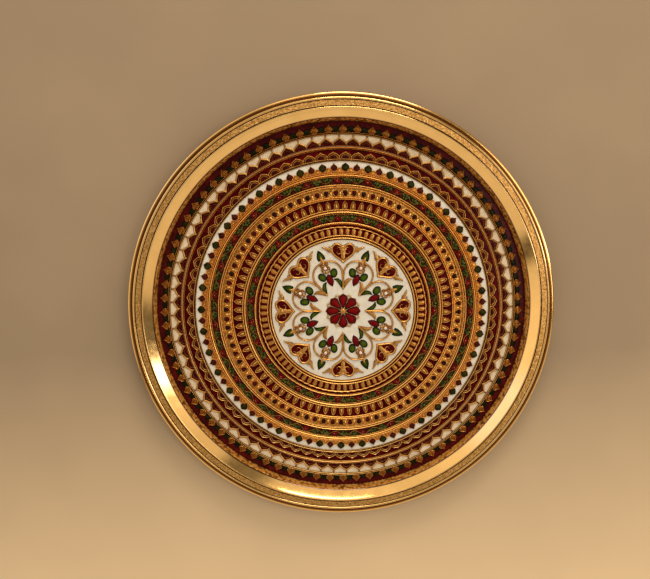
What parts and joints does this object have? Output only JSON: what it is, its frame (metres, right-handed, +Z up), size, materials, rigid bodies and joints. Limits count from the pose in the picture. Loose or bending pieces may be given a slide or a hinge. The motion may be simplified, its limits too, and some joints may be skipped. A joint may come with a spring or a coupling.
{
  "type": "enamel plate",
  "caption": "Round brass plate with a sloping polished rim, a milled and rolled edge, and an enamelled floor of raised gold ornament around a rosette.",
  "frame": {"origin": "centre of the flat base, on the surface that the plate rests on", "axes": "+Z up along the plate's axis; +Y towards the side that is uppermost in the picture"},
  "size_m": [0.3064, 0.3064, 0.0145],
  "materials": {
    "polished_brass": "polished",
    "textured_brass": "finely milled, satin",
    "aged_brass": "beaded, darkened",
    "gilt_relief": "cast relief, satin",
    "white_enamel": "glossy",
    "dark_red_enamel": "glossy",
    "red_enamel": "glossy",
    "dark_green_enamel": "glossy",
    "green_enamel": "glossy",
    "pearl": "lustrous"
  },
  "bodies": {
    "root": {"dish": "polished_brass", "milled_band": "textured_brass", "bead_ring": "aged_brass", "medallion_ground": "white_enamel", "colonnade_ground": "dark_red_enamel", "inner_vine_ground": "dark_green_enamel", "tooth_ground": "dark_red_enamel", "drop_ground": "gilt_relief", "outer_vine_ground": "dark_green_enamel", "inner_white_ground": "white_enamel", "lace_ground": "dark_red_enamel", "outer_white_ground": "white_enamel", "bud_ground": "dark_red_enamel", "vine_border": "gilt_relief", "twin_border": "gilt_relief", "colonnade": "gilt_relief", "lotus_teeth": "gilt_relief", "scroll_drops": "gilt_relief", "lace_arches": "gilt_relief", "crowns": "gilt_relief", "outer_buds": "gilt_relief", "rosette": "red_enamel", "centre_boss": "gilt_relief", "ogee_arcade": "gilt_relief", "heart_1": "gilt_relief", "heart_2": "gilt_relief", "heart_3": "gilt_relief", "heart_4": "gilt_relief", "heart_5": "gilt_relief", "heart_6": "gilt_relief", "heart_7": "gilt_relief", "heart_8": "gilt_relief", "leaf_tip_1": "green_enamel", "leaf_tip_2": "green_enamel", "leaf_tip_3": "green_enamel", "leaf_tip_4": "green_enamel", "leaf_tip_5": "green_enamel", "leaf_tip_6": "green_enamel", "leaf_tip_7": "green_enamel", "leaf_tip_8": "green_enamel", "spray_1": "gilt_relief", "spray_2": "gilt_relief", "spray_3": "gilt_relief", "spray_4": "gilt_relief", "spray_5": "gilt_relief", "spray_6": "gilt_relief", "spray_7": "gilt_relief", "spray_8": "gilt_relief", "pearl_1": "pearl", "pearl_2": "pearl", "pearl_3": "pearl", "pearl_4": "pearl", "pearl_5": "pearl", "pearl_6": "pearl", "pearl_7": "pearl", "pearl_8": "pearl"}
  },
  "joints": []
}
